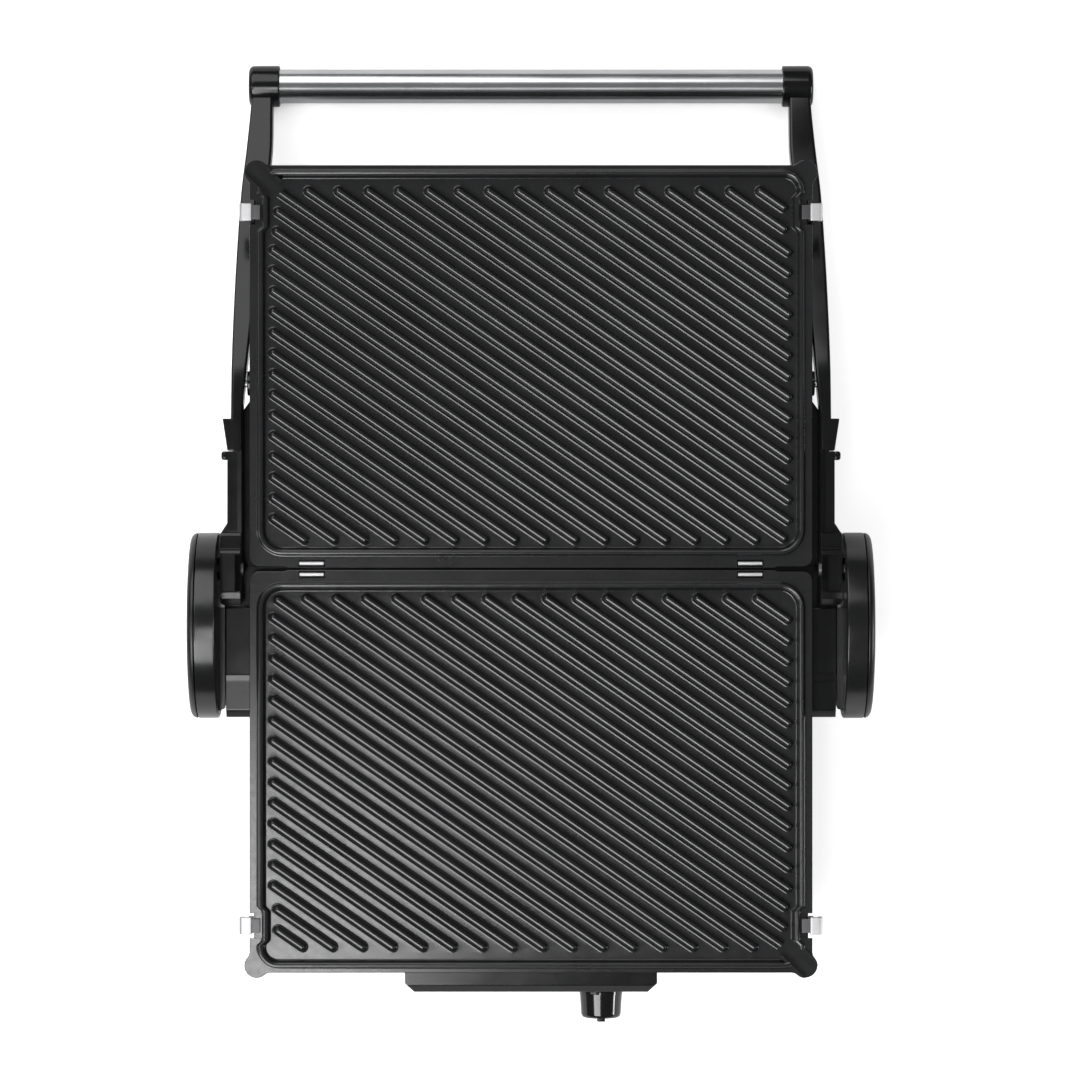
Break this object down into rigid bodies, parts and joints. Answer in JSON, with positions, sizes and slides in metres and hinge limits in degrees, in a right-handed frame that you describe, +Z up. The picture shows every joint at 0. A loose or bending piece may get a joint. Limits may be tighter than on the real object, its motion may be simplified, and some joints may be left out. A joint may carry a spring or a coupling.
{
  "type": "electric contact grill",
  "caption": "Countertop contact grill opened flat: two ribbed plates on a low base and a hinged floating lid with side arms and a bar handle.",
  "frame": {"origin": "on the table, under the middle of the opened grill's bounding box", "axes": "+X to the right seen from the knob's side, +Y from the knob to the handle, +Z up"},
  "size_m": [0.3802, 0.5434, 0.127],
  "materials": {
    "plate_coating": "matte non-stick coating on die-cast aluminium",
    "body_plastic": "satin moulded",
    "hub_plastic": "satin moulded",
    "arm_plastic": "satin moulded",
    "knob_gloss": "polished",
    "handle_steel": "polished along its length",
    "cover_steel": "brushed",
    "latch_steel": "pressed",
    "spring_steel": "drawn wire",
    "shaft_steel": "turned",
    "element_steel": "heat-darkened tube",
    "reflector_aluminium": "pressed sheet",
    "ceramic": "pale heat-resistant",
    "rubber": "matte",
    "red_lens": "clear tinted",
    "green_lens": "clear tinted"
  },
  "bodies": {
    "base": {"lower_grill_plate": "plate_coating", "base_housing": "body_plastic", "base_bottom_cover": "body_plastic", "control_panel": "body_plastic", "lower_heater": "element_steel", "lower_reflector": "reflector_aluminium", "thermostat": "ceramic", "terminal_block": "ceramic", "power_lamp": "red_lens", "ready_lamp": "green_lens", "cord_gland": "rubber", "foot_front_left": "rubber", "foot_front_right": "rubber", "foot_rear_left": "rubber", "foot_rear_right": "rubber", "hub_housing_left": "hub_plastic", "hub_cover_left": "hub_plastic", "lower_rear_clip_left": "latch_steel", "lower_latch_spring_left": "spring_steel", "hub_housing_right": "hub_plastic", "hub_cover_right": "hub_plastic", "lower_rear_clip_right": "latch_steel", "lower_latch_spring_right": "spring_steel"},
    "hinge_carriage": {"hinge_pin_left": "shaft_steel", "hinge_pin_right": "shaft_steel"},
    "lid": {"upper_grill_plate": "plate_coating", "lid_housing": "body_plastic", "handle_tube": "handle_steel", "lid_cover": "cover_steel", "upper_heater": "element_steel", "upper_reflector": "reflector_aluminium", "hinge_bracket_left": "arm_plastic", "lid_arm_left": "arm_plastic", "handle_cap_left": "body_plastic", "arm_screw_left_1": "shaft_steel", "arm_screw_left_2": "shaft_steel", "upper_rear_clip_left": "latch_steel", "upper_latch_spring_left": "spring_steel", "hinge_bracket_right": "arm_plastic", "lid_arm_right": "arm_plastic", "handle_cap_right": "body_plastic", "arm_screw_right_1": "shaft_steel", "arm_screw_right_2": "shaft_steel", "upper_rear_clip_right": "latch_steel", "upper_latch_spring_right": "spring_steel"},
    "knob": {"temperature_knob": "knob_gloss", "thermostat_shaft": "shaft_steel"},
    "lower_latch_left_body": {"lower_latch_left": "latch_steel"},
    "lower_latch_right_body": {"lower_latch_right": "latch_steel"},
    "upper_latch_left_body": {"upper_latch_left": "latch_steel"},
    "upper_latch_right_body": {"upper_latch_right": "latch_steel"}
  },
  "joints": [
    {"name": "lid_float", "type": "slide", "parent": "base", "child": "hinge_carriage", "axis": [0, 0, 1], "range_m": [0, 0.018]},
    {"name": "lid_hinge", "type": "hinge", "parent": "hinge_carriage", "child": "lid", "pos_m": [0, -0.01603, 0.08], "axis": [1, 0, 0], "range_deg": [0, 180]},
    {"name": "knob_turn", "type": "hinge", "parent": "base", "child": "knob", "pos_m": [0.0396, -0.254, 0.046], "axis": [0, 1, 0], "range_deg": [0, 270]},
    {"name": "lower_latch_left_slide", "type": "slide", "parent": "base", "child": "lower_latch_left_body", "axis": [-1, 0, 0], "range_m": [0, 0.0047], "stiffness_N_per_m": 400, "springref_m": -0.004, "deforming": ["lower_latch_spring_left"]},
    {"name": "lower_latch_right_slide", "type": "slide", "parent": "base", "child": "lower_latch_right_body", "axis": [1, 0, 0], "range_m": [0, 0.0047], "stiffness_N_per_m": 400, "springref_m": -0.004, "deforming": ["lower_latch_spring_right"]},
    {"name": "upper_latch_left_slide", "type": "slide", "parent": "lid", "child": "upper_latch_left_body", "axis": [-1, 0, 0], "range_m": [0, 0.0047], "stiffness_N_per_m": 400, "springref_m": -0.004, "deforming": ["upper_latch_spring_left"]},
    {"name": "upper_latch_right_slide", "type": "slide", "parent": "lid", "child": "upper_latch_right_body", "axis": [1, 0, 0], "range_m": [0, 0.0047], "stiffness_N_per_m": 400, "springref_m": -0.004, "deforming": ["upper_latch_spring_right"]}
  ]
}
